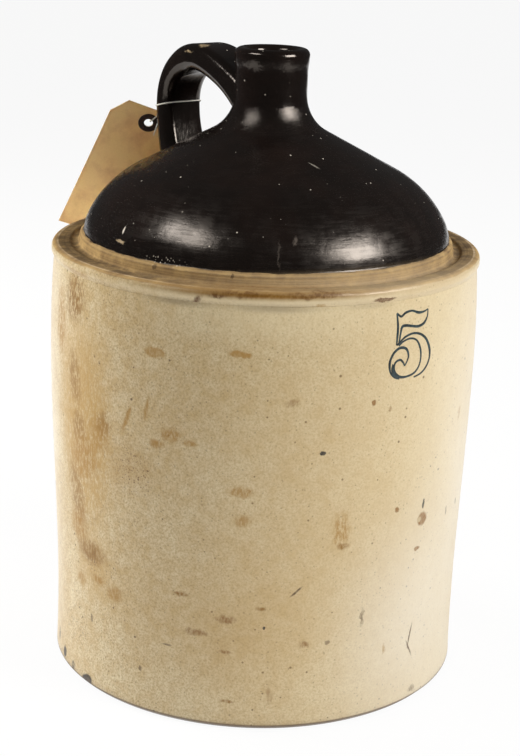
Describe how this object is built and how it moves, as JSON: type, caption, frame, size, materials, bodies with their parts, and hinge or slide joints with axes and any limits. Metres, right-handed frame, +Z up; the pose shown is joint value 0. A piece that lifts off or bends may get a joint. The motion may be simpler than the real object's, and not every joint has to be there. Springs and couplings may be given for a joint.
{
  "type": "stoneware jug",
  "caption": "Stoneware shoulder jug with a cream body, brown slip-glazed dome, narrow mouth and strap handle, for keeping and pouring liquids; a blank shipping tag hangs from the handle.",
  "frame": {"origin": "centre of the base, on the floor", "axes": "+Z up along the axis of the pot, +Y towards the strap handle, -Y the plain front with the capacity mark"},
  "size_m": [0.3, 0.3447, 0.438],
  "materials": {
    "cream_glaze": "gloss",
    "brown_slip": "gloss",
    "cotton_string": "matte",
    "manila_card": "matte",
    "fibre_patch": "matte"
  },
  "bodies": {
    "jug": {"crock_body": "cream_glaze", "dome_top": "brown_slip", "strap_handle": "brown_slip", "string_loop": "cotton_string"},
    "tag": {"string_link": "cotton_string", "tag_card": "manila_card", "tag_patch_front": "fibre_patch", "tag_patch_rear": "fibre_patch"}
  },
  "joints": [
    {"name": "tag_swing", "type": "hinge", "parent": "jug", "child": "tag", "pos_m": [-0.004, 0.11373, 0.38348], "axis": [1, 0, 0], "range_deg": [0, 70]}
  ]
}
